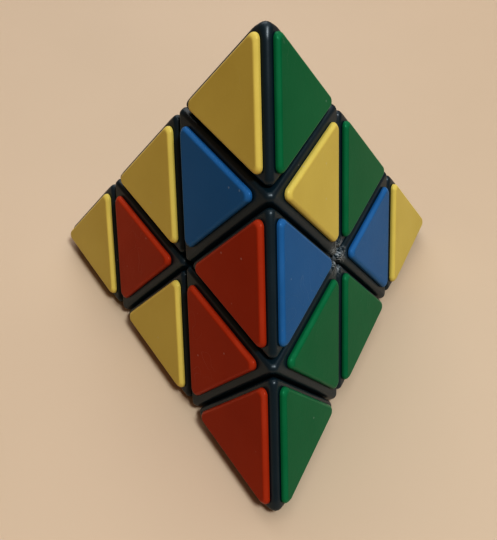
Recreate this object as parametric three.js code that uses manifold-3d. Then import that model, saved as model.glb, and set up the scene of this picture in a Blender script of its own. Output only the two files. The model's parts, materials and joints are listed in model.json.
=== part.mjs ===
// Pyramid twisty puzzle: a three-layer tetrahedron that turns about its four corner axes.
//
// Millimetres, +Z up. The origin is the middle of the core, where the four turning axes meet.
// The corners are called top (+Z), front (-Y), left (-X) and right (+X). The puzzle stands on the
// face opposite the top corner, and each face is named after the corner that it lies opposite.
//
// Every surface that slides past another is a plane square to a turning axis, a sphere about the
// origin or a cone about a turning axis, so a layer keeps its clearance at every angle.

import * as THREE from 'three';
import { ConvexGeometry } from 'three/addons/geometries/ConvexGeometry.js';
import { mergeVertices } from 'three/addons/utils/BufferGeometryUtils.js';
import Module from 'manifold-3d';

const wasm = await Module();
wasm.setup();

// ---------- driving dimensions ----------

const BODY_EDGE = 105;          // edge of the black tetrahedron before its corners are rounded
const SEAM_GAP = 0.34;          // gap between neighbouring pieces
const RIDGE_RADIUS = 1.2;       // rounding along the long ridges
const CORNER_RADIUS = 1.8;      // rounding at the four outer corners
const SEAM_RADIUS = 0.8;        // rounding where a piece meets a seam

const TILE_MARGIN = 1.88;       // black border between a tile and the edge of its triangle
const TILE_HEIGHT = 1.45;       // how far a tile stands out of its face
const TILE_BEVEL = 0.65;        // 45 degree bevel round the top of a tile
const TILE_CORNER_RADIUS = 1.4;
const TILE_TOP_CORNER_RADIUS = 1;
const GLUE_LINE = 0.05;

const SHELL_RADIUS = 19;        // sphere on which the outer pieces run
const FOOT_OUTER_RADIUS = 18.5;
const FOOT_INNER_RADIUS = 13.5;
const FOOT_CONE_ANGLE = 78;     // half angle of the cones that part the feet, in degrees
const FOOT_CONE_CLEARANCE = 0.9;
const NECK_OVERLAP = 0.4;       // how far a neck reaches into its foot and its outer piece

const CORE_RADIUS = 9;
const POST_RADIUS = 4.5;
const POST_TOP = 16;
const PILOT_RADIUS = 1.8;
const PILOT_BOTTOM = 4.2;

const POST_BORE_RADIUS = 4.8;
const POST_BORE_TOP = 16.3;
const SPRING_SEAT = 18.5;
const SPRING_BORE_RADIUS = 3.9;
const SOCKET_BOTTOM = 27.8;
const SOCKET_RADIUS = 4.6;
const GROOVE_RADIUS = 5.2;
const GROOVE_BOTTOM = 30;
const GROOVE_HEIGHT = 1.8;

const SCREW_BOTTOM = 5;
const SCREW_SHANK_RADIUS = 1.5;
const SCREW_POINT = 0.6;        // chamfer at the lower end
const SCREW_HEAD_RADIUS = 2.9;
const SCREW_HEAD_BOTTOM = 24.5;
const SCREW_HEAD_TOP = 26.6;
const SCREW_HEAD_CHAMFER = 0.5;
const SCREW_RECESS = { width: 0.8, length: 3.4, depth: 1.2 };

const SPRING_WIRE_RADIUS = 0.35;
const SPRING_COIL_RADIUS = 2.35;
const SPRING_TURNS = 4;
const SPRING_END_GAP = 0.3;

const STEM_RADIUS = 4.2;
const STEM_BORE_RADIUS = 3;
const STEM_BOTTOM = 29.4;
const STEM_ROOT = 2;            // how far the stem reaches up into the tip
const STEM_BORE_ROOT = 3;       // how far its bore does
const SNAP_RADIUS = 4.8;
const SNAP_HEIGHT = 1.2;
const STEM_SLIT = { width: 0.9, height: 5 };

// how finely curves are split
const TURNED_SEGMENTS = 16;
const SCREW_SEGMENTS = 12;
const CONE_SEGMENTS = 24;
const BALL_DETAIL = 3;
const RIDGE_STEPS = 5;
const CORNER_STEPS = 6;
const ROUNDING_STEP = 60;       // degrees between points of a seam rounding
const TILE_CORNER_STEPS = 3;
const WIRE_HALF_SIDES = 3;
const COIL_STEPS_PER_TURN = 8;

// ---------- derived sizes ----------

const BODY_HEIGHT = BODY_EDGE * Math.sqrt(2 / 3);
const FACE_DISTANCE = BODY_HEIGHT / 4;              // from the origin to each face
const CORNER_DISTANCE = 3 * FACE_DISTANCE;          // from the origin to each sharp corner
const LAYER_CUT = BODY_HEIGHT / 12;                 // where a layer parts from the rest
const TIP_CUT = 5 * BODY_HEIGHT / 12;               // where a tip parts from its layer
const SMALL_EDGE = BODY_EDGE / 3;                   // edge of each of the nine triangles on a face
const TRIANGLE_INRADIUS = SMALL_EDGE / (2 * Math.sqrt(3));
const LARGE = 2 * BODY_EDGE;                        // reaches past the whole puzzle
const MERGE_DISTANCE = 1e-4;                        // points closer than this are one point
const TOLERANCE = 1e-6;

const UP = new THREE.Vector3(0, 0, 1);

// ---------- the four axes ----------

const AXES = {
  top: new THREE.Vector3(0, 0, 1),
  front: new THREE.Vector3(0, -Math.sqrt(8), -1).divideScalar(3),
  left: new THREE.Vector3(-Math.sqrt(6), Math.sqrt(2), -1).divideScalar(3),
  right: new THREE.Vector3(Math.sqrt(6), Math.sqrt(2), -1).divideScalar(3),
};
const CORNERS = Object.keys(AXES);
const FACE_NAMES = { top: 'bottom', front: 'back', left: 'right', right: 'left' };
const EDGES = [
  ['top', 'front'], ['top', 'left'], ['top', 'right'],
  ['front', 'left'], ['front', 'right'], ['left', 'right'],
];

const others = (...known) => CORNERS.filter((corner) => !known.includes(corner));
const outward = (corner) => AXES[corner].clone();
const inward = (corner) => AXES[corner].clone().negate();

// The rotation that carries the top corner to one corner and the front corner to another.
function placement(topGoesTo, frontGoesTo) {
  const basis = (first, second) => new THREE.Matrix4().makeBasis(
    first.clone(), first.clone().cross(second).normalize(),
    first.clone().cross(first.clone().cross(second)).normalize());
  return basis(AXES[topGoesTo], AXES[frontGoesTo])
    .multiply(basis(AXES.top, AXES.front).transpose());
}

// ---------- solids ----------

// A closed three.js geometry as a solid.
function solidOf(geometry) {
  const plain = geometry.clone();
  for (const name of Object.keys(plain.attributes)) {
    if (name !== 'position') plain.deleteAttribute(name);
  }
  const merged = mergeVertices(plain, MERGE_DISTANCE);
  return new wasm.Manifold(new wasm.Mesh({
    numProp: 3,
    vertProperties: new Float32Array(merged.attributes.position.array),
    triVerts: new Uint32Array(merged.index.array),
  }));
}

// A solid as a three.js geometry.
function geometryOf(solid) {
  const { vertProperties, triVerts } = solid.getMesh();
  const geometry = new THREE.BufferGeometry();
  geometry.setAttribute('position', new THREE.BufferAttribute(vertProperties, 3));
  geometry.setIndex(new THREE.BufferAttribute(triVerts, 1));
  return geometry;
}

// A profile of [radius, height] points turned about +Z.
function turned(profile, segments = TURNED_SEGMENTS) {
  const points = profile.map(([radius, height]) => new THREE.Vector2(radius, height));
  return new THREE.LatheGeometry(points, segments).rotateX(Math.PI / 2);
}

const ball = (radius) => solidOf(new THREE.IcosahedronGeometry(radius, BALL_DETAIL));

const shell = (outerRadius, innerRadius) => ball(outerRadius).subtract(ball(innerRadius));

// Everything within an angle of one axis.
function cone(corner, degrees) {
  const angle = THREE.MathUtils.degToRad(degrees);
  const rim = LARGE * Math.sin(angle);
  const profile = [[0, 0], [rim, LARGE * Math.cos(angle)], [rim, LARGE], [0, LARGE]];
  const toAxis = new THREE.Quaternion().setFromUnitVectors(UP, AXES[corner]);
  return solidOf(turned(profile, CONE_SEGMENTS).applyQuaternion(toAxis));
}

const insideCone = (corner) => cone(corner, FOOT_CONE_ANGLE - FOOT_CONE_CLEARANCE);
const outsideCone = (corner) => cone(corner, FOOT_CONE_ANGLE + FOOT_CONE_CLEARANCE);

// ---------- rounded pieces bounded by planes ----------

const plane = (normal, offset) => ({ normal, offset });

// Planes that round the ridge between two faces at the same distance from the origin.
function ridgePlanes(firstNormal, secondNormal, distance, radius) {
  const sum = firstNormal.clone().add(secondNormal);
  const along = (distance - radius) / (1 + firstNormal.dot(secondNormal));
  const centre = sum.multiplyScalar(along);
  const turn = firstNormal.angleTo(secondNormal) / RIDGE_STEPS;
  const hinge = firstNormal.clone().cross(secondNormal).normalize();
  const planes = [];
  for (let step = 1; step < RIDGE_STEPS; step += 1) {
    const normal = firstNormal.clone().applyAxisAngle(hinge, turn * step);
    planes.push(plane(normal, normal.dot(centre) + radius));
  }
  return planes;
}

// Planes that round an outer corner with a sphere touching its three faces.
function cornerPlanes(corner, radius) {
  const [first, second, third] = others(corner).map(inward);
  const centre = outward(corner).multiplyScalar(CORNER_DISTANCE - 3 * radius);
  const planes = [];
  for (let i = 1; i < CORNER_STEPS - 1; i += 1) {
    for (let j = 1; j < CORNER_STEPS - i; j += 1) {
      const normal = first.clone().multiplyScalar(i)
        .addScaledVector(second, j)
        .addScaledVector(third, CORNER_STEPS - i - j)
        .normalize();
      planes.push(plane(normal, normal.dot(centre) + radius));
    }
  }
  return planes;
}

// The corners of the region behind every plane, each with the normals of the planes that meet there.
function vertexList(planes) {
  const vertices = [];
  const point = new THREE.Vector3();
  const matrix = new THREE.Matrix3();
  for (let i = 0; i < planes.length; i += 1) {
    for (let j = i + 1; j < planes.length; j += 1) {
      for (let k = j + 1; k < planes.length; k += 1) {
        const [a, b, c] = [planes[i], planes[j], planes[k]];
        matrix.set(...a.normal, ...b.normal, ...c.normal);
        if (Math.abs(matrix.determinant()) < TOLERANCE) continue;
        point.set(a.offset, b.offset, c.offset).applyMatrix3(matrix.invert());
        if (planes.some((side) => side.normal.dot(point) > side.offset + TOLERANCE)) continue;
        if (vertices.some((vertex) => vertex.point.distanceTo(point) < MERGE_DISTANCE)) continue;
        const meeting = planes.filter(
          (side) => Math.abs(side.normal.dot(point) - side.offset) < MERGE_DISTANCE);
        vertices.push({ point: point.clone(), normals: meeting.map((side) => side.normal) });
      }
    }
  }
  return vertices;
}

// Directions that cover the outside of a vertex: its normals, the arcs between them and the middle.
function directionsAt(normals) {
  const directions = normals.map((normal) => normal.clone());
  normals.forEach((first, index) => {
    for (const second of normals.slice(index + 1)) {
      const angle = first.angleTo(second);
      const steps = Math.ceil(THREE.MathUtils.radToDeg(angle) / ROUNDING_STEP);
      const hinge = first.clone().cross(second).normalize();
      for (let step = 1; step < steps; step += 1) {
        directions.push(first.clone().applyAxisAngle(hinge, angle * step / steps));
      }
    }
  });
  const middle = normals.reduce((sum, normal) => sum.add(normal), new THREE.Vector3()).normalize();
  directions.push(middle);
  return directions;
}

// The region behind every plane, with its edges rounded to the seam radius.
function roundedSolid(planes) {
  const inset = planes.map((side) => plane(side.normal, side.offset - SEAM_RADIUS));
  const points = vertexList(inset).flatMap(({ point, normals }) => directionsAt(normals)
    .map((direction) => point.clone().addScaledVector(direction, SEAM_RADIUS)));
  return solidOf(new ConvexGeometry(points));
}

const facePlane = (corner) => plane(inward(corner), FACE_DISTANCE);
const abovePlane = (corner, distance) => plane(inward(corner), -(distance + SEAM_GAP / 2));
const belowPlane = (corner, distance) => plane(outward(corner), distance - SEAM_GAP / 2);

// ---------- the pieces, each made once for the top corner or the top-front edge ----------

// Joins an outer piece to its foot through the gap between the two running spheres.
function withFoot(outer, footRegion) {
  const foot = footRegion.intersect(shell(FOOT_OUTER_RADIUS, FOOT_INNER_RADIUS));
  const neck = outer.intersect(footRegion)
    .intersect(shell(SHELL_RADIUS + NECK_OVERLAP, FOOT_OUTER_RADIUS - NECK_OVERLAP));
  return outer.subtract(ball(SHELL_RADIUS)).add(foot).add(neck);
}

function makeEdge() {
  const outer = roundedSolid([
    facePlane('left'), facePlane('right'),
    abovePlane('top', LAYER_CUT), abovePlane('front', LAYER_CUT),
    ...ridgePlanes(inward('left'), inward('right'), FACE_DISTANCE, RIDGE_RADIUS),
  ]);
  const footRegion = insideCone('top').intersect(insideCone('front'))
    .subtract(outsideCone('left')).subtract(outsideCone('right'));
  return withFoot(outer, footRegion);
}

// The stepped bore of an axial piece: post, screw shank, spring and head, then the tip's socket.
function axialBore() {
  const snapRise = GROOVE_RADIUS - SOCKET_RADIUS;
  return solidOf(turned([
    [0, 0], [POST_BORE_RADIUS, 0], [POST_BORE_RADIUS, POST_BORE_TOP],
    [PILOT_RADIUS, POST_BORE_TOP], [PILOT_RADIUS, SPRING_SEAT],
    [SPRING_BORE_RADIUS, SPRING_SEAT], [SPRING_BORE_RADIUS, SOCKET_BOTTOM],
    [SOCKET_RADIUS, SOCKET_BOTTOM], [SOCKET_RADIUS, GROOVE_BOTTOM - snapRise],
    [GROOVE_RADIUS, GROOVE_BOTTOM], [GROOVE_RADIUS, GROOVE_BOTTOM + GROOVE_HEIGHT],
    [SOCKET_RADIUS, GROOVE_BOTTOM + GROOVE_HEIGHT + snapRise],
    [SOCKET_RADIUS, LARGE], [0, LARGE],
  ]));
}

function makeAxial() {
  const sides = others('top');
  const outer = roundedSolid([
    ...sides.map(facePlane),
    ...sides.map((side) => belowPlane(side, LAYER_CUT)),
    abovePlane('top', LAYER_CUT),
    belowPlane('top', TIP_CUT),
  ]);
  const footRegion = sides.reduce((region, side) => region.subtract(outsideCone(side)),
    insideCone('top'));
  return withFoot(outer, footRegion).subtract(axialBore());
}

// The tip's hollow stem with a snap bead, split so that it can spring into the socket.
function tipStem() {
  const root = TIP_CUT + STEM_ROOT;
  const snapRise = SNAP_RADIUS - STEM_RADIUS;
  const snapBottom = GROOVE_BOTTOM + (GROOVE_HEIGHT - SNAP_HEIGHT) / 2;
  const snapTop = snapBottom + SNAP_HEIGHT;
  return solidOf(turned([
    [0, STEM_BOTTOM], [STEM_RADIUS, STEM_BOTTOM], [STEM_RADIUS, snapBottom - snapRise],
    [SNAP_RADIUS, snapBottom], [SNAP_RADIUS, snapTop],
    [STEM_RADIUS, snapTop + snapRise], [STEM_RADIUS, root], [0, root],
  ]));
}

// The stem's bore and the two slits that cross it.
function tipHollow() {
  const top = TIP_CUT + STEM_BORE_ROOT;
  const bore = solidOf(turned([
    [0, 0], [STEM_BORE_RADIUS, 0], [STEM_BORE_RADIUS, top], [0, top],
  ]));
  const slit = (width, depth) => solidOf(
    new THREE.BoxGeometry(width, depth, STEM_SLIT.height * 2).translate(0, 0, STEM_BOTTOM));
  const acrossStem = SNAP_RADIUS * 3;
  return bore.add(slit(STEM_SLIT.width, acrossStem)).add(slit(acrossStem, STEM_SLIT.width));
}

function makeTip() {
  const sides = others('top');
  const ridges = sides.flatMap((side, index) => {
    const next = sides[(index + 1) % sides.length];
    return ridgePlanes(inward(side), inward(next), FACE_DISTANCE, RIDGE_RADIUS);
  });
  const outer = roundedSolid([
    ...sides.map(facePlane), abovePlane('top', TIP_CUT),
    ...ridges, ...cornerPlanes('top', CORNER_RADIUS),
  ]);
  return outer.add(tipStem()).subtract(tipHollow());
}

function makeCore() {
  return CORNERS.reduce((core, corner) => {
    const toAxis = new THREE.Quaternion().setFromUnitVectors(UP, AXES[corner]);
    const post = turned([[0, 0], [POST_RADIUS, 0], [POST_RADIUS, POST_TOP], [0, POST_TOP]]);
    return core.add(solidOf(post.applyQuaternion(toAxis)));
  }, ball(CORE_RADIUS));
}

function drillPilotHoles(core) {
  return CORNERS.reduce((drilled, corner) => {
    const toAxis = new THREE.Quaternion().setFromUnitVectors(UP, AXES[corner]);
    const hole = turned([
      [0, PILOT_BOTTOM], [PILOT_RADIUS, PILOT_BOTTOM], [PILOT_RADIUS, LARGE], [0, LARGE],
    ]);
    return drilled.subtract(solidOf(hole.applyQuaternion(toAxis)));
  }, core);
}

function makeScrew() {
  const body = solidOf(turned([
    [0, SCREW_BOTTOM], [SCREW_SHANK_RADIUS - SCREW_POINT, SCREW_BOTTOM],
    [SCREW_SHANK_RADIUS, SCREW_BOTTOM + SCREW_POINT], [SCREW_SHANK_RADIUS, SCREW_HEAD_BOTTOM],
    [SCREW_HEAD_RADIUS, SCREW_HEAD_BOTTOM],
    [SCREW_HEAD_RADIUS, SCREW_HEAD_TOP - SCREW_HEAD_CHAMFER],
    [SCREW_HEAD_RADIUS - SCREW_HEAD_CHAMFER, SCREW_HEAD_TOP], [0, SCREW_HEAD_TOP],
  ], SCREW_SEGMENTS));
  const { width, length, depth } = SCREW_RECESS;
  const slot = (x, y) => solidOf(
    new THREE.BoxGeometry(x, y, depth * 2).translate(0, 0, SCREW_HEAD_TOP));
  return body.subtract(slot(width, length)).subtract(slot(length, width));
}

class Coil extends THREE.Curve {
  constructor(radius, bottom, height, turns) {
    super();
    Object.assign(this, { radius, bottom, height, turns });
  }

  getPoint(t, target = new THREE.Vector3()) {
    const angle = 2 * Math.PI * this.turns * t;
    return target.set(
      this.radius * Math.cos(angle), this.radius * Math.sin(angle), this.bottom + this.height * t);
  }
}

function makeSpring() {
  const clear = SPRING_END_GAP + SPRING_WIRE_RADIUS;
  const height = SCREW_HEAD_BOTTOM - SPRING_SEAT - 2 * clear;
  const path = new Coil(SPRING_COIL_RADIUS, SPRING_SEAT + clear, height, SPRING_TURNS);
  const section = new THREE.Shape();
  section.absarc(0, 0, SPRING_WIRE_RADIUS, 0, 2 * Math.PI);
  return solidOf(new THREE.ExtrudeGeometry(section, {
    steps: COIL_STEPS_PER_TURN * SPRING_TURNS,
    curveSegments: WIRE_HALF_SIDES,
    extrudePath: path,
  }));
}

// A tile lies in the XY plane with its middle at the origin and one corner towards +Y.
function makeTile() {
  const outline = (inradius, cornerRadius, height) => {
    const points = [];
    for (let corner = 0; corner < 3; corner += 1) {
      const towards = Math.PI / 2 + corner * 2 * Math.PI / 3;
      const reach = 2 * (inradius - cornerRadius);
      for (let step = 0; step <= TILE_CORNER_STEPS; step += 1) {
        const angle = towards + (step / TILE_CORNER_STEPS - 0.5) * 2 * Math.PI / 3;
        points.push(new THREE.Vector3(
          reach * Math.cos(towards) + cornerRadius * Math.cos(angle),
          reach * Math.sin(towards) + cornerRadius * Math.sin(angle),
          height));
      }
    }
    return points;
  };
  const baseInradius = TRIANGLE_INRADIUS - TILE_MARGIN;
  return solidOf(new ConvexGeometry([
    ...outline(baseInradius, TILE_CORNER_RADIUS, GLUE_LINE),
    ...outline(baseInradius, TILE_CORNER_RADIUS, TILE_HEIGHT - TILE_BEVEL),
    ...outline(baseInradius - TILE_BEVEL, TILE_TOP_CORNER_RADIUS, TILE_HEIGHT),
  ]));
}

// ---------- materials ----------

const plastic = (color, roughness) => new THREE.MeshStandardMaterial({ color, roughness });
const metal = (color, roughness) => new THREE.MeshStandardMaterial({ color, roughness, metalness: 1 });

const BLACK_PLASTIC = plastic(0x14181c, 0.38);
const CORE_PLASTIC = plastic(0x3a3d40, 0.5);
const SCREW_STEEL = metal(0x8f9296, 0.35);
const SPRING_STEEL = metal(0xa4a7aa, 0.3);
const TILE_PLASTIC = {
  yellow: plastic(0xc0932a, 0.36),
  green: plastic(0x0a6a34, 0.36),
  blue: plastic(0x1d4a86, 0.36),
  red: plastic(0x8c2216, 0.36),
};

// The colours of the tiles, by piece and by the face that each one lies on.
const TIP_COLOURS = {
  top: { left: 'yellow', right: 'green', back: 'blue' },
  front: { left: 'red', right: 'green', bottom: 'blue' },
  left: { left: 'yellow', back: 'red', bottom: 'green' },
  right: { right: 'yellow', back: 'red', bottom: 'blue' },
};
const AXIAL_COLOURS = {
  top: { left: 'blue', right: 'yellow', back: 'green' },
  front: { left: 'red', right: 'green', bottom: 'blue' },
  left: { left: 'red', back: 'green', bottom: 'yellow' },
  right: { right: 'blue', back: 'yellow', bottom: 'red' },
};
const EDGE_COLOURS = {
  top_front: { left: 'red', right: 'blue' },
  top_left: { left: 'yellow', back: 'green' },
  top_right: { right: 'green', back: 'blue' },
  front_left: { left: 'yellow', bottom: 'red' },
  front_right: { right: 'green', bottom: 'red' },
  left_right: { back: 'blue', bottom: 'yellow' },
};

// ---------- assembly ----------

const puzzle = new THREE.Group();

function addPiece(name, geometry, material, matrix = new THREE.Matrix4()) {
  const mesh = new THREE.Mesh(geometry, material);
  mesh.name = name;
  mesh.applyMatrix4(matrix);
  puzzle.add(mesh);
}

// Where a small triangle with the given corners lies: its middle, its face and its upward corner.
function tileMatrix(faceOpposite, triangleCorners) {
  const middle = triangleCorners.reduce((sum, corner) => sum.add(corner), new THREE.Vector3())
    .divideScalar(3);
  const normal = inward(faceOpposite);
  const towards = triangleCorners[0].clone().sub(middle).normalize();
  return new THREE.Matrix4()
    .makeBasis(towards.clone().cross(normal), towards, normal)
    .setPosition(middle);
}

// A point on a ridge or at a corner of the sharp tetrahedron, a whole number of thirds along.
const ridgePoint = (from, to, thirds) => outward(from).multiplyScalar(3 - thirds)
  .addScaledVector(AXES[to], thirds).multiplyScalar(CORNER_DISTANCE / 3);
const faceMiddle = (faceOpposite) => inward(faceOpposite).multiplyScalar(FACE_DISTANCE);

function addTiles(pieceName, colours, triangleOn) {
  for (const faceOpposite of CORNERS) {
    const face = FACE_NAMES[faceOpposite];
    if (!(face in colours)) continue;
    const matrix = tileMatrix(faceOpposite, triangleOn(faceOpposite));
    addPiece(`tile_${pieceName}_${face}_face`, TILE_GEOMETRY, TILE_PLASTIC[colours[face]], matrix);
  }
}

const TILE_GEOMETRY = geometryOf(makeTile());
const EDGE_GEOMETRY = geometryOf(makeEdge());
const AXIAL_GEOMETRY = geometryOf(makeAxial());
const TIP_GEOMETRY = geometryOf(makeTip());
const SCREW_GEOMETRY = geometryOf(makeScrew());
const SPRING_GEOMETRY = geometryOf(makeSpring());

addPiece('core_spider', geometryOf(drillPilotHoles(makeCore())), CORE_PLASTIC);

for (const corner of CORNERS) {
  const matrix = placement(corner, others(corner)[0]);
  addPiece(`screw_${corner}`, SCREW_GEOMETRY, SCREW_STEEL, matrix);
  addPiece(`spring_${corner}`, SPRING_GEOMETRY, SPRING_STEEL, matrix);
  addPiece(`axial_${corner}`, AXIAL_GEOMETRY, BLACK_PLASTIC, matrix);
  addPiece(`tip_${corner}`, TIP_GEOMETRY, BLACK_PLASTIC, matrix);
  addTiles(`axial_${corner}`, AXIAL_COLOURS[corner], (face) => {
    const [first, second] = others(corner, face);
    return [faceMiddle(face), ridgePoint(corner, first, 1), ridgePoint(corner, second, 1)];
  });
  addTiles(`tip_${corner}`, TIP_COLOURS[corner], (face) => {
    const [first, second] = others(corner, face);
    return [ridgePoint(corner, first, 0), ridgePoint(corner, first, 1), ridgePoint(corner, second, 1)];
  });
}

for (const [first, second] of EDGES) {
  const name = `${first}_${second}`;
  addPiece(`edge_${name}`, EDGE_GEOMETRY, BLACK_PLASTIC, placement(first, second));
  addTiles(`edge_${name}`, EDGE_COLOURS[name], (face) => (
    [faceMiddle(face), ridgePoint(first, second, 1), ridgePoint(first, second, 2)]));
}

export default puzzle;
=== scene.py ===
import itertools
import json
import math

import bmesh
import bpy
import numpy as np
from mathutils import Matrix, Vector


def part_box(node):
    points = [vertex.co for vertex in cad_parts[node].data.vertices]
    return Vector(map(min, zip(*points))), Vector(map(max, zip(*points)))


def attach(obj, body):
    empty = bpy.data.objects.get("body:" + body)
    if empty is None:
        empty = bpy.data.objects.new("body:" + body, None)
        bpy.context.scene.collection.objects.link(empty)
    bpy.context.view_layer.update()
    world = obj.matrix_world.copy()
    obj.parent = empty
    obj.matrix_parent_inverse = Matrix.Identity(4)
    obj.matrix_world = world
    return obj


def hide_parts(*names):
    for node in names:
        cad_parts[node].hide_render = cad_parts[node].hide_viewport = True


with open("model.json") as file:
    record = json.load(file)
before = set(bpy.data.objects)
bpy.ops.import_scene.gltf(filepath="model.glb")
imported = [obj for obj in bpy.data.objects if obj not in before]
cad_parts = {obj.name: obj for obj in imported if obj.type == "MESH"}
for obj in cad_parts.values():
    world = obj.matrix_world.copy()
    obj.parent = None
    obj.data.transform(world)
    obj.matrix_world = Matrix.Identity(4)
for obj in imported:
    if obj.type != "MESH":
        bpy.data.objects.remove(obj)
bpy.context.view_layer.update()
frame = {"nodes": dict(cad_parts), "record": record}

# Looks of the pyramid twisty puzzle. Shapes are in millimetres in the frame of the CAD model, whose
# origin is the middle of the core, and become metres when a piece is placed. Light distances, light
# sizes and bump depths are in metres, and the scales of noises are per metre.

# ---------- sizes taken from the frame ----------

MM = 0.001
GLUE_LINE = 0.05
FACE_DISTANCE = -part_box("axial_front")[0][2] / MM
TILE_HEIGHT = -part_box("tile_axial_front_bottom_face")[0][2] / MM - FACE_DISTANCE
CORNER_DISTANCE = 3 * FACE_DISTANCE
LAYER_CUT = FACE_DISTANCE / 3
TIP_CUT = 5 * LAYER_CUT
SMALL_EDGE = 4 * FACE_DISTANCE / math.sqrt(2 / 3) / 3
TRIANGLE_INRADIUS = SMALL_EDGE / (2 * math.sqrt(3))
REST_HEIGHT = -(FACE_DISTANCE + TILE_HEIGHT)

# ---------- sizes of the fine shapes ----------

SEAM_GAP = 0.34
RIDGE_RADIUS = 1.2
CORNER_RADIUS = 1.7
RIDGE_END_RADIUS = 1.3
SEAM_RADIUS = 1.2
HIDDEN_RADIUS = 0.3
EASE_LENGTH = 2.0
EASE_STEPS = 5
ARC_STEPS = 12
FLAT_ENOUGH = math.radians(0.3)
SAME_CORNER = 1e-3
SAME_POINT = 1e-4
PARALLEL = 1e-6

TILE_MARGIN = 1.88
TILE_CORNER_RADIUS = 1.5
TILE_CORNER_SHRINK = 0.6
TILE_BEVEL = 0.65
TILE_FILLET = 0.28
TILE_FOOT_CHAMFER = 0.12
TILE_SHOULDER_SOFTNESS = 0.25  # how far round the lower fillet its middle ring lies
TILE_TOP_SOFTNESS = (0.1, 0.22)  # how far out and down the middle ring of the upper fillet lies
TILE_CORNER_STEPS = 12

# how strongly each ring of a tile is painted paler and brighter, from its foot to its top: partly
# rubbed by handling, partly a painted highlight on the bevel
RIM_WEAR_AND_HIGHLIGHT = "rim_wear_and_highlight"
TILE_RIM_WEAR_AND_HIGHLIGHT = (0.0, 0.1, 0.3, 0.8, 1.0, 1.0, 0.6, 0.0)

SHELL_RADIUS = 19.0
FOOT_OUTER_RADIUS = 18.5
FOOT_INNER_RADIUS = 13.5
FOOT_CONE_ANGLE = math.radians(78)
FOOT_CONE_CLEARANCE = math.radians(0.9)
NECK_OVERLAP = 0.4

POST_BORE = (4.8, 16.3)  # radius, top
SHANK_BORE_RADIUS = 1.8
SPRING_SEAT = 18.5
SPRING_BORE_RADIUS = 3.9
SOCKET_BOTTOM = 27.8
SOCKET_RADIUS = 4.6
SOCKET_CHAMFER = 0.6
GROOVE = (5.2, 30.0, 1.8)  # radius, bottom, height
STEM_RADIUS = 4.2
STEM_CHAMFER = 0.3
STEM_BORE_RADIUS = 3.0
STEM_BOTTOM = 29.4
STEM_ROOT = 2.0
STEM_BORE_ROOT = 3.0
SNAP = (4.8, 1.2)  # radius, height
STEM_SLIT = (0.9, 5.0)  # width, height

SCREW_BOTTOM = 5.0
SCREW_SHANK_RADIUS = 1.5
SCREW_PLAIN_RADIUS = 1.4
SCREW_THREAD = (0.28, 1.1)  # depth, pitch
SCREW_THREAD_TOP = 15.5
SCREW_THREAD_STEPS = 12
SCREW_THREAD_SEGMENTS = 36
SCREW_THREAD_SHARPNESS = 3.2
SCREW_POINT_SHARE = 0.45
SCREW_POINT_LENGTH = 3
SCREW_HEAD = (2.9, 24.5, 26.6)  # radius, bottom, top
SCREW_DOME = ((0.0, 0.9), (0.2, 0.5), (0.7, 0.18), (1.6, 0.0))  # how far in and down from its rim
SCREW_RECESS = (0.8, 3.4, 1.2)  # width, length, depth
SCREW_CHAMFER = 0.1
SCREW_OVERLAP = 0.5

SPRING_WIRE_RADIUS = 0.35
SPRING_COIL_RADIUS = 2.35
SPRING_TURNS = 4
SPRING_STEPS_PER_TURN = 40
SPRING_WIRE_SIDES = 12
SPRING_END_GAP = 0.3

TURNED_SEGMENTS = 64
BALL_DETAIL = 5
LARGE = 200.0
SMOOTH_ANGLE = math.radians(32)

# ---------- colours ----------

# its colour, the darker tone of its mottling and its share of dust specks
TILE_COLOURS = {
    "tile_yellow": ((0.57, 0.46, 0.12), (0.53, 0.42, 0.105), 0.02),
    "tile_green": ((0.0005, 0.138, 0.055), (0.0003, 0.122, 0.048), 0.03),
    "tile_blue": ((0.021, 0.125, 0.3), (0.017, 0.112, 0.27), 0.12),
    "tile_red": ((0.325, 0.036, 0.0065), (0.285, 0.029, 0.005), 0.1),
}
# what each is, as a gain and a lift of the tile's own colour
# the rims, painted paler and brighter: partly rubbed by handling, partly a painted highlight on the
# bevels
TILE_WORN_AND_LIT = (1.35, 0.022)
TILE_DUST = (0.6, 0.22)
TILE_SHEEN = (0.7, 0.3)
TILE_ROUGHNESS = (0.27, 0.42)
TILE_SPECULAR = 0.2
TILE_BUMP = 0.00006

BLACK_TONES = ((0.0055, 0.02, 0.03), (0.0085, 0.027, 0.039))
BLACK_HAZE = (0.034, 0.048, 0.058)
BLACK_ROUGHNESS = (0.29, 0.42)
BLACK_SPECULAR = 0.5
BLACK_BUMP = 0.00005
LINT_COLOUR = (0.45, 0.48, 0.5)
LINT_REACH = 5.2

CORE_TONES = ((0.045, 0.05, 0.054), (0.07, 0.076, 0.08))
CORE_ROUGHNESS = (0.45, 0.62)
CORE_BUMP = 0.00008

# its colour and its range of roughness
STEELS = {
    "screw_steel": ((0.56, 0.57, 0.59), (0.22, 0.38)),
    "spring_steel": ((0.62, 0.63, 0.64), (0.18, 0.32)),
}
STEEL_TARNISH = (0.62, 0.0)
STEEL_BUMP = 0.00002

# ---------- floor, light and camera ----------

FLOOR_HALF_SIZE = 3.0
FLOOR_TONES = ((0.55, 0.435, 0.32), (0.59, 0.465, 0.345))
FLOOR_ROUGHNESS = 0.6

WORLD_COLOUR = (1.0, 0.65, 0.43)
WORLD_STRENGTH = 0.2

# direction, distance, size, power and colour
LIGHTS = {
    "key": ((0.26, -0.38, 0.88), 1.2, 0.26, 8.1, (0.88, 0.96, 1.0)),
    "room": ((0.2, 0.35, 0.9), 1.5, 1.6, 5.6, (0.88, 0.95, 1.0)),
    "back": ((-0.1, 0.8, 0.6), 1.5, 1.0, 4.5, (0.92, 0.97, 1.0)),
}

CAMERA_PLACE = Vector((-13.0, -125.1, 133.3))
CAMERA_TARGET = Vector((-2.4, -3.5, -3.3))
CAMERA_ROLL = math.radians(1.42)
CAMERA_LENS = 33.4
SENSOR_LONG_SIDE = 24.0
CLIP_START = 10.0

# ---------- the four axes ----------

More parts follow.
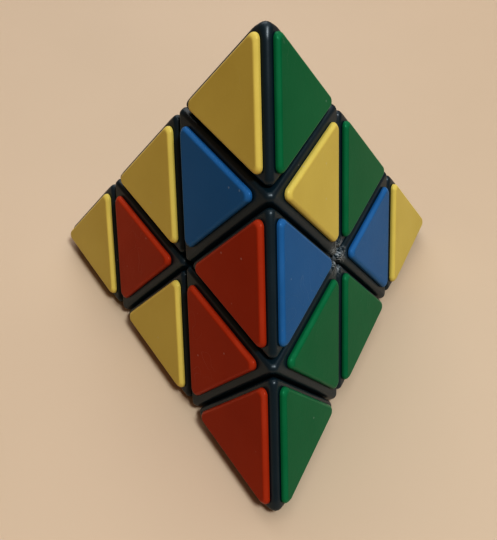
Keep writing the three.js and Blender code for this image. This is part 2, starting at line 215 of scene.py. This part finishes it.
AXES = {
    "top": Vector((0, 0, 1)),
    "front": Vector((0, -math.sqrt(8), -1)) / 3,
    "left": Vector((-math.sqrt(6), math.sqrt(2), -1)) / 3,
    "right": Vector((math.sqrt(6), math.sqrt(2), -1)) / 3,
}
CORNERS = list(AXES)
FACE_NAMES = {"top": "bottom", "front": "back", "left": "right", "right": "left"}
EDGES = list(itertools.combinations(CORNERS, 2))
SLOTS = {part["node"]: part["material_slot"] for part in frame["record"]["subparts"]}


def others(*known):
    return [corner for corner in CORNERS if corner not in known]


def placement(top_goes_to, front_goes_to):
    """The rotation that carries the top corner to one corner and the front corner to another."""
    def basis(first, second):
        side = first.cross(second).normalized()
        return Matrix((first, side, first.cross(side))).transposed()
    start = basis(AXES["top"], AXES["front"])
    end = basis(AXES[top_goes_to], AXES[front_goes_to])
    return (end @ start.transposed()).to_4x4()


# ---------- meshes ----------

def mesh_from(bm, name):
    mesh = bpy.data.meshes.new(name)
    bm.to_mesh(mesh)
    bm.free()
    return mesh


def turned(profile, axis=None):
    """A closed profile of (radius, height) points, from axis to axis, turned about an axis."""
    bm = bmesh.new()
    rings = []
    for radius, height in profile:
        if radius == 0:
            rings.append([bm.verts.new((0, 0, height))] * TURNED_SEGMENTS)
            continue
        ring = []
        for step in range(TURNED_SEGMENTS):
            angle = 2 * math.pi * step / TURNED_SEGMENTS
            ring.append(bm.verts.new((radius * math.cos(angle), radius * math.sin(angle), height)))
        rings.append(ring)
    for lower, upper in zip(rings, rings[1:]):
        for i in range(TURNED_SEGMENTS):
            j = (i + 1) % TURNED_SEGMENTS
            corners = dict.fromkeys((lower[i], lower[j], upper[j], upper[i]))
            if len(corners) > 2:
                bm.faces.new(corners)
    if axis:
        turn = Vector((0, 0, 1)).rotation_difference(axis).to_matrix()
        bmesh.ops.rotate(bm, matrix=turn, verts=bm.verts)
    bmesh.ops.recalc_face_normals(bm, faces=bm.faces)
    return mesh_from(bm, "turned")


def ball(radius):
    bm = bmesh.new()
    bmesh.ops.create_icosphere(bm, subdivisions=BALL_DETAIL, radius=radius)
    return mesh_from(bm, "ball")


def block(width, depth, height, middle):
    bm = bmesh.new()
    bmesh.ops.create_cube(bm, size=1)
    bmesh.ops.scale(bm, vec=(width, depth, height), verts=bm.verts)
    bmesh.ops.translate(bm, vec=(0, 0, middle), verts=bm.verts)
    return mesh_from(bm, "block")


def cone(corner, angle):
    """Everything within an angle of one axis."""
    rim = LARGE * math.sin(angle)
    profile = [(0, 0), (rim, LARGE * math.cos(angle)), (rim, LARGE), (0, LARGE)]
    return turned(profile, axis=AXES[corner])


def combined(mesh, *steps):
    """A mesh after boolean steps, each a (operation, mesh) pair."""
    for operation, tool in steps:
        base = bpy.data.objects.new("base", mesh)
        cutter = bpy.data.objects.new("cutter", tool)
        for item in (base, cutter):
            bpy.context.scene.collection.objects.link(item)
        boolean = base.modifiers.new("boolean", "BOOLEAN")
        boolean.operation = operation
        boolean.object = cutter
        boolean.solver = "MANIFOLD"
        bpy.context.view_layer.update()
        evaluated = base.evaluated_get(bpy.context.evaluated_depsgraph_get())
        mesh = bpy.data.meshes.new_from_object(evaluated)
        for item in (base, cutter):
            bpy.data.objects.remove(item)
    return mesh


# ---------- rounded pieces bounded by planes ----------

def vertices_of(planes, inset):
    """The corners of the region behind every plane moved in by inset, with the planes at each."""
    normals, offsets = planes
    found = []
    for triple in itertools.combinations(range(len(offsets)), 3):
        rows = normals[list(triple)]
        if abs(np.linalg.det(rows)) < PARALLEL:
            continue
        point = np.linalg.solve(rows, offsets[list(triple)] - inset)
        gaps = offsets - inset - normals @ point
        known = any(np.linalg.norm(point - other) < SAME_CORNER for other, _ in found)
        if known or gaps.min() < -PARALLEL:
            continue
        meeting = [i for i, gap in enumerate(gaps) if gap < 2 * SEAM_GAP]
        found.append((point, meeting))
    return found


def arc(first, second):
    """Directions from one normal to another."""
    axis, angle = first.rotation_difference(second).to_axis_angle()
    return [Matrix.Rotation(angle * i / ARC_STEPS, 3, axis) @ first for i in range(ARC_STEPS + 1)]


def patch(normals):
    """Directions that cover the outside of a vertex whose planes have these normals."""
    directions = []
    for a, b, c in itertools.combinations(normals, 3):
        for i in range(ARC_STEPS + 1):
            for j in range(ARC_STEPS + 1 - i):
                directions.append((a * i + b * j + c * (ARC_STEPS - i - j)).normalized())
    for a, b in itertools.combinations(normals, 2):
        directions += arc(a, b)
    return directions


def corner_radius(outer_count):
    return {3: CORNER_RADIUS, 2: RIDGE_END_RADIUS}.get(outer_count, SEAM_RADIUS)


def edge_radius(outer_count):
    return {2: RIDGE_RADIUS, 1: SEAM_RADIUS}.get(outer_count, HIDDEN_RADIUS)


def edge_arcs(planes, pair, start, along, from_radius, to_radius):
    """Arcs along an edge as its rounding eases from a corner's radius to the edge's own."""
    normals, offsets = planes
    rows = normals[pair]
    directions = arc(Vector(rows[0]), Vector(rows[1]))
    points = []
    for step in range(1, EASE_STEPS + 1):
        share = step / EASE_STEPS
        radius = to_radius + (from_radius - to_radius) * (1 - share) ** 2
        middle = start + along * EASE_LENGTH * share
        middle = middle + np.linalg.pinv(rows) @ (offsets[pair] - radius - rows @ middle)
        points += [Vector(middle) + direction * radius for direction in directions]
    return points


def rounded_body(outer_planes, cut_planes):
    """A convex body whose ridges, seams and corners are each rounded to their own radius.

    A plane is (normal, offset). The outer planes are faces of the puzzle, the others are seams.
    """
    normals, offsets = (np.array(values) for values in zip(*outer_planes, *cut_planes))
    planes = (normals, offsets)

    def outer_count(indices):
        return sum(i < len(outer_planes) for i in indices)

    points = []
    for corner_size in (CORNER_RADIUS, RIDGE_END_RADIUS, SEAM_RADIUS):
        corners = vertices_of(planes, corner_size)
        for place, meeting in corners:
            if corner_radius(outer_count(meeting)) != corner_size:
                continue
            for direction in patch([Vector(normals[i]) for i in meeting]):
                points.append(Vector(place) + direction * corner_size)
            for other, far in corners:
                shared = [i for i in meeting if i in far]
                along = other - place
                length = np.linalg.norm(along)
                if len(shared) == 2 and length > 2 * EASE_LENGTH:
                    points += edge_arcs(planes, shared, place, along / length,
                                        corner_size, edge_radius(outer_count(shared)))
    return hull(points)


def hull(points):
    bm = bmesh.new()
    for point in points:
        bm.verts.new(point)
    bmesh.ops.remove_doubles(bm, verts=bm.verts, dist=SAME_POINT)
    result = bmesh.ops.convex_hull(bm, input=bm.verts)
    inside = {item for key in ("geom_interior", "geom_unused") for item in result[key]}
    unused = [item for item in inside if isinstance(item, bmesh.types.BMVert)]
    bmesh.ops.delete(bm, geom=unused, context="VERTS")
    bmesh.ops.dissolve_limit(bm, angle_limit=FLAT_ENOUGH, verts=bm.verts, edges=bm.edges)
    bmesh.ops.recalc_face_normals(bm, faces=bm.faces)
    return mesh_from(bm, "body")


def face_plane(corner):
    return -AXES[corner], FACE_DISTANCE


def above_plane(corner, distance):
    return -AXES[corner], -(distance + SEAM_GAP / 2)


def below_plane(corner, distance):
    return AXES[corner], distance - SEAM_GAP / 2


# ---------- the black pieces, each made once for the top corner or the top-front edge ----------

def with_foot(outer, inside, outside):
    """Joins an outer piece to its foot through the gap between the two running spheres."""
    def region(outer_radius, inner_radius):
        steps = [("INTERSECT", cone(c, FOOT_CONE_ANGLE - FOOT_CONE_CLEARANCE)) for c in inside]
        steps += [("DIFFERENCE", cone(c, FOOT_CONE_ANGLE + FOOT_CONE_CLEARANCE)) for c in outside]
        return combined(ball(outer_radius), ("DIFFERENCE", ball(inner_radius)), *steps)
    foot = region(FOOT_OUTER_RADIUS, FOOT_INNER_RADIUS)
    neck = region(SHELL_RADIUS + NECK_OVERLAP, FOOT_OUTER_RADIUS - NECK_OVERLAP)
    neck = combined(neck, ("INTERSECT", outer.copy()))
    return combined(outer, ("DIFFERENCE", ball(SHELL_RADIUS)), ("UNION", foot), ("UNION", neck))


def make_edge():
    outer = rounded_body(
        [face_plane("left"), face_plane("right")],
        [above_plane("top", LAYER_CUT), above_plane("front", LAYER_CUT)])
    return with_foot(outer, ["top", "front"], ["left", "right"])


def axial_bore():
    post_radius, post_top = POST_BORE
    groove_radius, groove_bottom, groove_height = GROOVE
    rise = groove_radius - SOCKET_RADIUS
    groove_top = groove_bottom + groove_height
    return turned([
        (0, 0), (post_radius, 0), (post_radius, post_top),
        (SHANK_BORE_RADIUS, post_top), (SHANK_BORE_RADIUS, SPRING_SEAT),
        (SPRING_BORE_RADIUS, SPRING_SEAT), (SPRING_BORE_RADIUS, SOCKET_BOTTOM),
        (SOCKET_RADIUS, SOCKET_BOTTOM), (SOCKET_RADIUS, groove_bottom - rise),
        (groove_radius, groove_bottom), (groove_radius, groove_top),
        (SOCKET_RADIUS, groove_top + rise), (SOCKET_RADIUS, TIP_CUT - SOCKET_CHAMFER),
        (SOCKET_RADIUS + SOCKET_CHAMFER, TIP_CUT), (SOCKET_RADIUS + SOCKET_CHAMFER, LARGE),
        (0, LARGE),
    ])


def make_axial():
    sides = others("top")
    outer = rounded_body(
        [face_plane(side) for side in sides],
        [below_plane(side, LAYER_CUT) for side in sides]
        + [above_plane("top", LAYER_CUT), below_plane("top", TIP_CUT)])
    return combined(with_foot(outer, ["top"], sides), ("DIFFERENCE", axial_bore()))


def make_tip():
    outer = rounded_body(
        [face_plane(side) for side in others("top")],
        [above_plane("top", TIP_CUT)])
    snap_radius, snap_height = SNAP
    _, groove_bottom, groove_height = GROOVE
    rise = snap_radius - STEM_RADIUS
    snap_bottom = groove_bottom + (groove_height - snap_height) / 2
    snap_top = snap_bottom + snap_height
    root = TIP_CUT + STEM_ROOT
    stem = turned([
        (0, STEM_BOTTOM), (STEM_RADIUS - STEM_CHAMFER, STEM_BOTTOM),
        (STEM_RADIUS, STEM_BOTTOM + STEM_CHAMFER),
        (STEM_RADIUS, snap_bottom - rise), (snap_radius, snap_bottom), (snap_radius, snap_top),
        (STEM_RADIUS, snap_top + rise), (STEM_RADIUS, root), (0, root),
    ])
    bore_top = TIP_CUT + STEM_BORE_ROOT
    bore = turned([(0, 0), (STEM_BORE_RADIUS, 0), (STEM_BORE_RADIUS, bore_top), (0, bore_top)])
    slit_width, slit_height = STEM_SLIT
    across = 3 * snap_radius
    return combined(
        outer, ("UNION", stem), ("DIFFERENCE", bore),
        ("DIFFERENCE", block(slit_width, across, 2 * slit_height, STEM_BOTTOM)),
        ("DIFFERENCE", block(across, slit_width, 2 * slit_height, STEM_BOTTOM)))


# ---------- screws and springs ----------

def tube_mesh(rings, name):
    """A closed tube through rings of points, with a flat end at each side."""
    bm = bmesh.new()
    loops = [[bm.verts.new(point) for point in ring] for ring in rings]
    for lower, upper in zip(loops, loops[1:]):
        for i in range(len(lower)):
            j = (i + 1) % len(lower)
            bm.faces.new((lower[i], lower[j], upper[j], upper[i]))
    bm.faces.new(loops[0])
    bm.faces.new(loops[-1])
    bmesh.ops.recalc_face_normals(bm, faces=bm.faces)
    return mesh_from(bm, name)


def thread_ring(height):
    """One ring of the thread, whose crest climbs a pitch in a turn."""
    depth, pitch = SCREW_THREAD
    climbed = height - SCREW_BOTTOM
    taper = min(1.0, SCREW_POINT_SHARE + climbed / SCREW_POINT_LENGTH)
    ring = []
    for i in range(SCREW_THREAD_SEGMENTS):
        angle = 2 * math.pi * i / SCREW_THREAD_SEGMENTS
        phase = (climbed / pitch - i / SCREW_THREAD_SEGMENTS) % 1
        crest = max(0.0, 1 - SCREW_THREAD_SHARPNESS * abs(phase - 0.5))
        radius = taper * (SCREW_SHANK_RADIUS - depth * (1 - crest))
        ring.append((radius * math.cos(angle), radius * math.sin(angle), height))
    return ring


def make_screw():
    """A plain upper shank and a cross-head, above a rolled thread."""
    length = SCREW_THREAD_TOP - SCREW_BOTTOM
    _, pitch = SCREW_THREAD
    steps = round(length / pitch * SCREW_THREAD_STEPS)
    rings = [thread_ring(SCREW_BOTTOM + length * step / steps) for step in range(steps + 1)]
    thread = tube_mesh(rings, "thread")
    head_radius, head_bottom, head_top = SCREW_HEAD
    shank_bottom = SCREW_THREAD_TOP - SCREW_OVERLAP
    upper = turned([
        (0, shank_bottom), (SCREW_PLAIN_RADIUS, shank_bottom),
        (SCREW_PLAIN_RADIUS, head_bottom), (head_radius - SCREW_CHAMFER, head_bottom),
        (head_radius, head_bottom + SCREW_CHAMFER),
        *((head_radius - inward, head_top - down) for inward, down in SCREW_DOME),
        (0, head_top),
    ])
    width, span, depth = SCREW_RECESS
    return combined(
        upper, ("UNION", thread),
        ("DIFFERENCE", block(width, span, 2 * depth, head_top)),
        ("DIFFERENCE", block(span, width, 2 * depth, head_top)))


def make_spring():
    """A coil of round wire that stands clear of its seat and of the screw head."""
    clear = SPRING_END_GAP + SPRING_WIRE_RADIUS
    bottom = SPRING_SEAT + clear
    _, head_bottom, _ = SCREW_HEAD
    height = head_bottom - SPRING_SEAT - 2 * clear
    steps = SPRING_STEPS_PER_TURN * SPRING_TURNS
    rings = []
    for step in range(steps + 1):
        share = step / steps
        angle = 2 * math.pi * SPRING_TURNS * share
        outward = Vector((math.cos(angle), math.sin(angle), 0))
        middle = outward * SPRING_COIL_RADIUS + Vector((0, 0, bottom + height * share))
        ring = []
        for i in range(SPRING_WIRE_SIDES):
            turn = 2 * math.pi * i / SPRING_WIRE_SIDES
            around = outward * math.cos(turn) + Vector((0, 0, math.sin(turn)))
            ring.append(middle + SPRING_WIRE_RADIUS * around)
        rings.append(ring)
    return tube_mesh(rings, "spring")


# ---------- tiles ----------

def tile_ring(inradius, radius, height):
    """A triangle with rounded corners, one corner towards +Y."""
    points = []
    for corner in range(3):
        towards = math.pi / 2 + corner * 2 * math.pi / 3
        reach = 2 * (inradius - radius)
        for step in range(TILE_CORNER_STEPS + 1):
            angle = towards + (step / TILE_CORNER_STEPS - 0.5) * 2 * math.pi / 3
            points.append((
                reach * math.cos(towards) + radius * math.cos(angle),
                reach * math.sin(towards) + radius * math.sin(angle),
                height))
    return points


def tile_profile():
    """How far in and how high each ring of a tile lies: wall, fillet, bevel, fillet, top."""
    shoulder = TILE_HEIGHT - TILE_BEVEL
    soft = TILE_FILLET
    slope = soft * math.sqrt(0.5)
    part = TILE_SHOULDER_SOFTNESS
    out, down = TILE_TOP_SOFTNESS
    return [
        (TILE_FOOT_CHAMFER, GLUE_LINE),
        (0, GLUE_LINE + TILE_FOOT_CHAMFER),
        (0, shoulder - soft),
        (part * slope, shoulder - part * soft),
        (slope, shoulder + slope),
        (TILE_BEVEL - slope, TILE_HEIGHT - slope),
        (TILE_BEVEL - out * soft, TILE_HEIGHT - down * soft),
        (TILE_BEVEL + soft, TILE_HEIGHT),
    ]


def make_tile():
    base = TRIANGLE_INRADIUS - TILE_MARGIN
    rings = []
    for inset, height in tile_profile():
        radius = TILE_CORNER_RADIUS - TILE_CORNER_SHRINK * inset
        rings.append(tile_ring(base - inset, radius, height))
    mesh = tube_mesh(rings, "tile")
    # how strongly each ring is painted paler and brighter: partly rubbed by handling, partly a
    # painted highlight on the bevels
    rim_wear_and_highlight = mesh.attributes.new(RIM_WEAR_AND_HIGHLIGHT, "FLOAT", "POINT")
    for i, point in enumerate(rim_wear_and_highlight.data):
        point.value = TILE_RIM_WEAR_AND_HIGHLIGHT[i // len(rings[0])]
    return mesh


def tile_matrix(face_opposite, triangle):
    """Where a small triangle lies: its middle, its face and its first corner."""
    middle = sum(triangle, Vector()) / 3
    normal = -AXES[face_opposite]
    towards = (triangle[0] - middle).normalized()
    turn = Matrix((towards.cross(normal), towards, normal)).transposed().to_4x4()
    return Matrix.Translation(middle) @ turn


def ridge_point(start, end, thirds):
    return (AXES[start] * (3 - thirds) + AXES[end] * thirds) * CORNER_DISTANCE / 3


def face_middle(face_opposite):
    return AXES[face_opposite] * -FACE_DISTANCE


# ---------- materials ----------

# which sockets of a mix node carry colours
MIX_FACTOR, MIX_A, MIX_B, MIX_RESULT = 0, 6, 7, 2


class Nodes:
    """Builds one material's nodes."""

    def __init__(self, name):
        self.material = bpy.data.materials.new(name)
        self.material.use_nodes = True
        self.tree = self.material.node_tree
        self.shader = self.tree.nodes["Principled BSDF"]
        self.place = self.add("ShaderNodeTexCoord").outputs["Object"]

    def add(self, kind, inputs=(), **settings):
        node = self.tree.nodes.new(kind)
        for key, value in settings.items():
            setattr(node, key, value)
        for key, value in dict(inputs).items():
            self.put(value, node.inputs[key])
        return node

    def put(self, value, socket):
        if isinstance(value, bpy.types.NodeSocket):
            self.tree.links.new(value, socket)
        else:
            socket.default_value = value

    def noise(self, scale, detail=3.0, roughness=0.5, distortion=0.0):
        return self.add("ShaderNodeTexNoise", {
            "Vector": self.place, "Scale": scale, "Detail": detail,
            "Roughness": roughness, "Distortion": distortion}).outputs["Fac"]

    def ramp(self, factor, low, high, start=0.0, end=1.0):
        return self.add("ShaderNodeMapRange", {
            "Value": factor, "From Min": low, "From Max": high,
            "To Min": start, "To Max": end}).outputs["Result"]

    def times(self, a, b):
        return self.add("ShaderNodeMath", {0: a, 1: b}, operation="MULTIPLY").outputs[0]

    def plus(self, a, b):
        return self.add("ShaderNodeMath", {0: a, 1: b}, operation="ADD").outputs[0]

    def mix(self, factor, a, b):
        node = self.add("ShaderNodeMix", data_type="RGBA")
        self.put(factor, node.inputs[MIX_FACTOR])
        self.put(a, node.inputs[MIX_A])
        self.put(b, node.inputs[MIX_B])
        return node.outputs[MIX_RESULT]

    def blend(self, factor, a, b):
        """A mix of two fixed colours."""
        return self.mix(factor, (*a, 1), (*b, 1))

    def patches(self, scale, low, high, start=0.0, end=1.0, detail=3.0, roughness=0.5):
        """Cloudy patches that run from start, where a noise is low, to end, where it is high."""
        return self.ramp(self.noise(scale, detail, roughness), low, high, start, end)

    def specks(self, scale, size, share):
        """Small round specks at a share of the cells of a grid of random points."""
        cells = self.add("ShaderNodeTexVoronoi", {"Vector": self.place, "Scale": scale})
        dot = self.ramp(cells.outputs["Distance"], size, 0.5 * size)
        pick = self.add("ShaderNodeSeparateColor", {"Color": cells.outputs["Color"]}).outputs["Red"]
        chosen = self.add("ShaderNodeMath", {0: pick, 1: share}, operation="LESS_THAN").outputs[0]
        return self.times(dot, chosen)

    def scratches(self, scale, width):
        """Fine curved hairlines, where a warped noise passes through its middle value."""
        field = self.noise(scale, detail=1.0, distortion=1.6)
        away = self.add("ShaderNodeMath", {0: self.plus(field, -0.5)}, operation="ABSOLUTE")
        return self.ramp(away.outputs[0], width, 0.0)

    def near(self, point, reach):
        """1 close to a point, falling to 0 at a distance from it."""
        away = self.add("ShaderNodeVectorMath", {0: self.place, 1: point}, operation="DISTANCE")
        return self.ramp(away.outputs["Value"], reach, 0.4 * reach)

    def bump(self, height, depth):
        node = self.add("ShaderNodeBump", {"Height": height, "Distance": depth, "Strength": 1.0})
        self.put(node.outputs["Normal"], self.shader.inputs["Normal"])

    def finish(self, **inputs):
        for key, value in inputs.items():
            self.put(value, self.shader.inputs[key.replace("_", " ")])
        return self.material


def shifted(colour, gain, lift):
    """A colour multiplied by a gain, then made paler by a lift."""
    return tuple(gain * value + lift for value in colour)


def tile_plastic(name, colour, deep, dust_share):
    """Glossy coloured plastic: mottled, its rims painted paler and brighter (partly rubbed by
    handling, partly a painted highlight on the bevels), with hairlines and dust specks.
    """
    nodes = Nodes(name)
    mottle = nodes.patches(scale=55.0, low=0.3, high=0.7, detail=4.0)
    uneven = nodes.patches(scale=130.0, low=0.3, high=0.7, start=0.35, end=0.65, detail=4.0)
    # rim: the bevel band that is painted brighter, partly rubbed by handling, partly a painted
    # highlight
    rim = nodes.add("ShaderNodeAttribute", attribute_name=RIM_WEAR_AND_HIGHLIGHT).outputs["Fac"]
    specks = nodes.specks(scale=520.0, size=0.16, share=dust_share)
    scuffed = nodes.patches(scale=40.0, low=0.5, high=0.62)
    hairlines = nodes.times(nodes.scratches(scale=95.0, width=0.006), scuffed)
    # the tile's colour made brighter and paler for its rims, partly a painted highlight
    worn_and_lit = (*shifted(colour, *TILE_WORN_AND_LIT), 1)
    pale = (*shifted(colour, *TILE_DUST), 1)
    body = nodes.mix(nodes.times(rim, uneven), nodes.blend(mottle, deep, colour), worn_and_lit)
    dusty = nodes.mix(nodes.times(specks, 0.7), body, pale)
    scratched = nodes.mix(nodes.times(hairlines, 0.2), dusty, pale)
    start, end = TILE_ROUGHNESS
    rough = nodes.patches(
        scale=38.0, low=0.3, high=0.75, start=start, end=end, detail=5.0, roughness=0.6)
    fine = nodes.times(nodes.noise(scale=900.0, detail=2.0), 0.25)
    grain = nodes.plus(fine, nodes.noise(scale=85.0, detail=2.0))
    nodes.bump(nodes.plus(grain, nodes.times(hairlines, -0.5)), TILE_BUMP)
    purest = tuple(value / max(colour) for value in colour)
    return nodes.finish(
        Base_Color=scratched, Roughness=nodes.plus(rough, nodes.times(specks, 0.3)),
        Specular_IOR_Level=TILE_SPECULAR, Specular_Tint=(*shifted(purest, *TILE_SHEEN), 1))


def black_plastic():
    """Satin near-black plastic, with a pale haze, dust specks and one patch of lint."""
    nodes = Nodes("black_plastic")
    mottle = nodes.patches(scale=70.0, low=0.35, high=0.7, detail=4.0)
    haze = nodes.patches(scale=28.0, low=0.5, high=0.8, detail=5.0, roughness=0.65)
    hazy = nodes.mix(
        nodes.times(haze, 0.35), nodes.blend(mottle, *BLACK_TONES), (*BLACK_HAZE, 1))
    near = nodes.near(face_middle("left") * MM, LINT_REACH * MM)
    fibres = nodes.times(nodes.scratches(scale=650.0, width=0.085), near)
    specks = nodes.specks(scale=900.0, size=0.17, share=0.02)
    lint = nodes.plus(nodes.times(specks, 0.6), fibres)
    linty = nodes.mix(nodes.times(lint, 0.8), hazy, (*LINT_COLOUR, 1))
    start, end = BLACK_ROUGHNESS
    rough = nodes.patches(
        scale=60.0, low=0.3, high=0.75, start=start, end=end, detail=5.0, roughness=0.6)
    fine = nodes.times(nodes.noise(scale=1500.0, detail=2.0), 0.35)
    nodes.bump(nodes.plus(fine, nodes.noise(scale=160.0)), BLACK_BUMP)
    return nodes.finish(
        Base_Color=linty, Roughness=nodes.plus(rough, nodes.times(lint, 0.3)),
        Specular_IOR_Level=BLACK_SPECULAR)


def core_plastic():
    """Matt moulded plastic with a fine texture."""
    nodes = Nodes("core_plastic")
    mottle = nodes.patches(scale=120.0, low=0.3, high=0.7, detail=4.0)
    start, end = CORE_ROUGHNESS
    nodes.bump(nodes.noise(scale=1800.0), CORE_BUMP)
    return nodes.finish(
        Base_Color=nodes.blend(mottle, *CORE_TONES),
        Roughness=nodes.patches(scale=200.0, low=0.3, high=0.7, start=start, end=end))


def steel(name, colour, roughness):
    """Bare steel with a fine grain and a little tarnish."""
    nodes = Nodes(name)
    tarnish = nodes.patches(scale=180.0, low=0.4, high=0.8, detail=5.0)
    start, end = roughness
    nodes.bump(nodes.noise(scale=2600.0, detail=1.0), STEEL_BUMP)
    return nodes.finish(
        Base_Color=nodes.blend(tarnish, colour, shifted(colour, *STEEL_TARNISH)),
        Roughness=nodes.patches(scale=420.0, low=0.3, high=0.7, start=start, end=end),
        Metallic=1.0)


MATERIALS = {"black_plastic": black_plastic(), "core_plastic": core_plastic()}
for slot, look in TILE_COLOURS.items():
    MATERIALS[slot] = tile_plastic(slot, *look)
for slot, look in STEELS.items():
    MATERIALS[slot] = steel(slot, *look)

# ---------- assembly ----------

def add_piece(mesh, matrix, node, body):
    """A fine piece that stands for one CAD node and moves with its body."""
    placed = mesh.copy()
    placed.transform(Matrix.Scale(MM, 4) @ matrix)
    placed.name = f"{node}_fine"
    piece = bpy.data.objects.new(f"{node}_fine", placed)
    bpy.context.scene.collection.objects.link(piece)
    placed.materials.clear()
    placed.materials.append(MATERIALS[SLOTS[node]])
    placed.shade_smooth()
    placed.set_sharp_from_angle(angle=SMOOTH_ANGLE)
    weighted = piece.modifiers.new("flat faces stay flat", "WEIGHTED_NORMAL")
    weighted.keep_sharp = True
    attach(piece, body)
    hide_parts(node)


TILE_MESH = make_tile()
BLACK_MESHES = {"edge": make_edge(), "axial": make_axial(), "tip": make_tip()}
SCREW_MESH = make_screw()
SPRING_MESH = make_spring()


def add_tiles(piece, triangle_on):
    """The tiles of one black piece, on each face that the frame says it has one."""
    for face_opposite, face in FACE_NAMES.items():
        node = f"tile_{piece}_{face}_face"
        if node in frame["nodes"]:
            matrix = tile_matrix(face_opposite, triangle_on(face_opposite))
            add_piece(TILE_MESH, matrix, node, piece)


def axial_triangle(corner, face):
    first, second = others(corner, face)
    return [face_middle(face), ridge_point(corner, first, 1), ridge_point(corner, second, 1)]


def tip_triangle(corner, face):
    first, second = others(corner, face)
    apex = ridge_point(corner, first, 0)
    return [apex, ridge_point(corner, first, 1), ridge_point(corner, second, 1)]


def edge_triangle(first, second, face):
    return [face_middle(face), ridge_point(first, second, 1), ridge_point(first, second, 2)]


for corner in CORNERS:
    turn = placement(corner, others(corner)[0])
    add_piece(SCREW_MESH, turn, f"screw_{corner}", "core")
    add_piece(SPRING_MESH, turn, f"spring_{corner}", "core")
    for kind in ("axial", "tip"):
        add_piece(BLACK_MESHES[kind], turn, f"{kind}_{corner}", f"{kind}_{corner}")
    add_tiles(f"axial_{corner}", lambda face: axial_triangle(corner, face))
    add_tiles(f"tip_{corner}", lambda face: tip_triangle(corner, face))

for first, second in EDGES:
    name = f"edge_{first}_{second}"
    add_piece(BLACK_MESHES["edge"], placement(first, second), name, name)
    add_tiles(name, lambda face: edge_triangle(first, second, face))

core = frame["nodes"]["core_spider"]
core.data.materials.clear()
core.data.materials.append(MATERIALS["core_plastic"])

# ---------- around the puzzle ----------

def make_floor():
    bm = bmesh.new()
    bmesh.ops.create_grid(bm, x_segments=1, y_segments=1, size=FLOOR_HALF_SIZE)
    bmesh.ops.translate(bm, vec=(0, 0, REST_HEIGHT * MM), verts=bm.verts)
    floor = bpy.data.objects.new("floor", mesh_from(bm, "floor"))
    bpy.context.scene.collection.objects.link(floor)
    nodes = Nodes("floor")
    tone = nodes.patches(scale=6.0, low=0.3, high=0.7, detail=4.0)
    material = nodes.finish(Base_Color=nodes.blend(tone, *FLOOR_TONES), Roughness=FLOOR_ROUGHNESS)
    floor.data.materials.append(material)


def add_light(name, direction, distance, size, power, colour):
    """A soft square light that looks at the puzzle from a direction."""
    light = bpy.data.lights.new(name, "AREA")
    light.size = size
    light.energy = power
    light.color = colour
    lamp = bpy.data.objects.new(name, light)
    toward = Vector(direction).normalized()
    lamp.location = toward * distance
    lamp.rotation_euler = toward.to_track_quat("Z", "Y").to_euler()
    bpy.context.scene.collection.objects.link(lamp)


def light_scene():
    world = bpy.data.worlds.new("studio")
    bpy.context.scene.world = world
    world.use_nodes = True
    background = world.node_tree.nodes["Background"]
    background.inputs["Color"].default_value = (*WORLD_COLOUR, 1)
    background.inputs["Strength"].default_value = WORLD_STRENGTH
    for name, settings in LIGHTS.items():
        add_light(name, *settings)


def make_camera():
    camera = bpy.data.cameras.new("camera")
    camera.sensor_width = SENSOR_LONG_SIDE
    camera.lens = CAMERA_LENS
    camera.clip_start = CLIP_START * MM
    eye = bpy.data.objects.new("camera", camera)
    aim = (CAMERA_TARGET - CAMERA_PLACE).to_track_quat("-Z", "Y").to_matrix().to_4x4()
    eye.matrix_world = (
        Matrix.Translation(CAMERA_PLACE * MM) @ aim @ Matrix.Rotation(CAMERA_ROLL, 4, "Z"))
    bpy.context.scene.collection.objects.link(eye)
    bpy.context.scene.camera = eye


make_floor()
light_scene()
make_camera()
bpy.context.scene.view_settings.view_transform = "Standard"
bpy.context.scene.view_settings.look = "High Contrast"
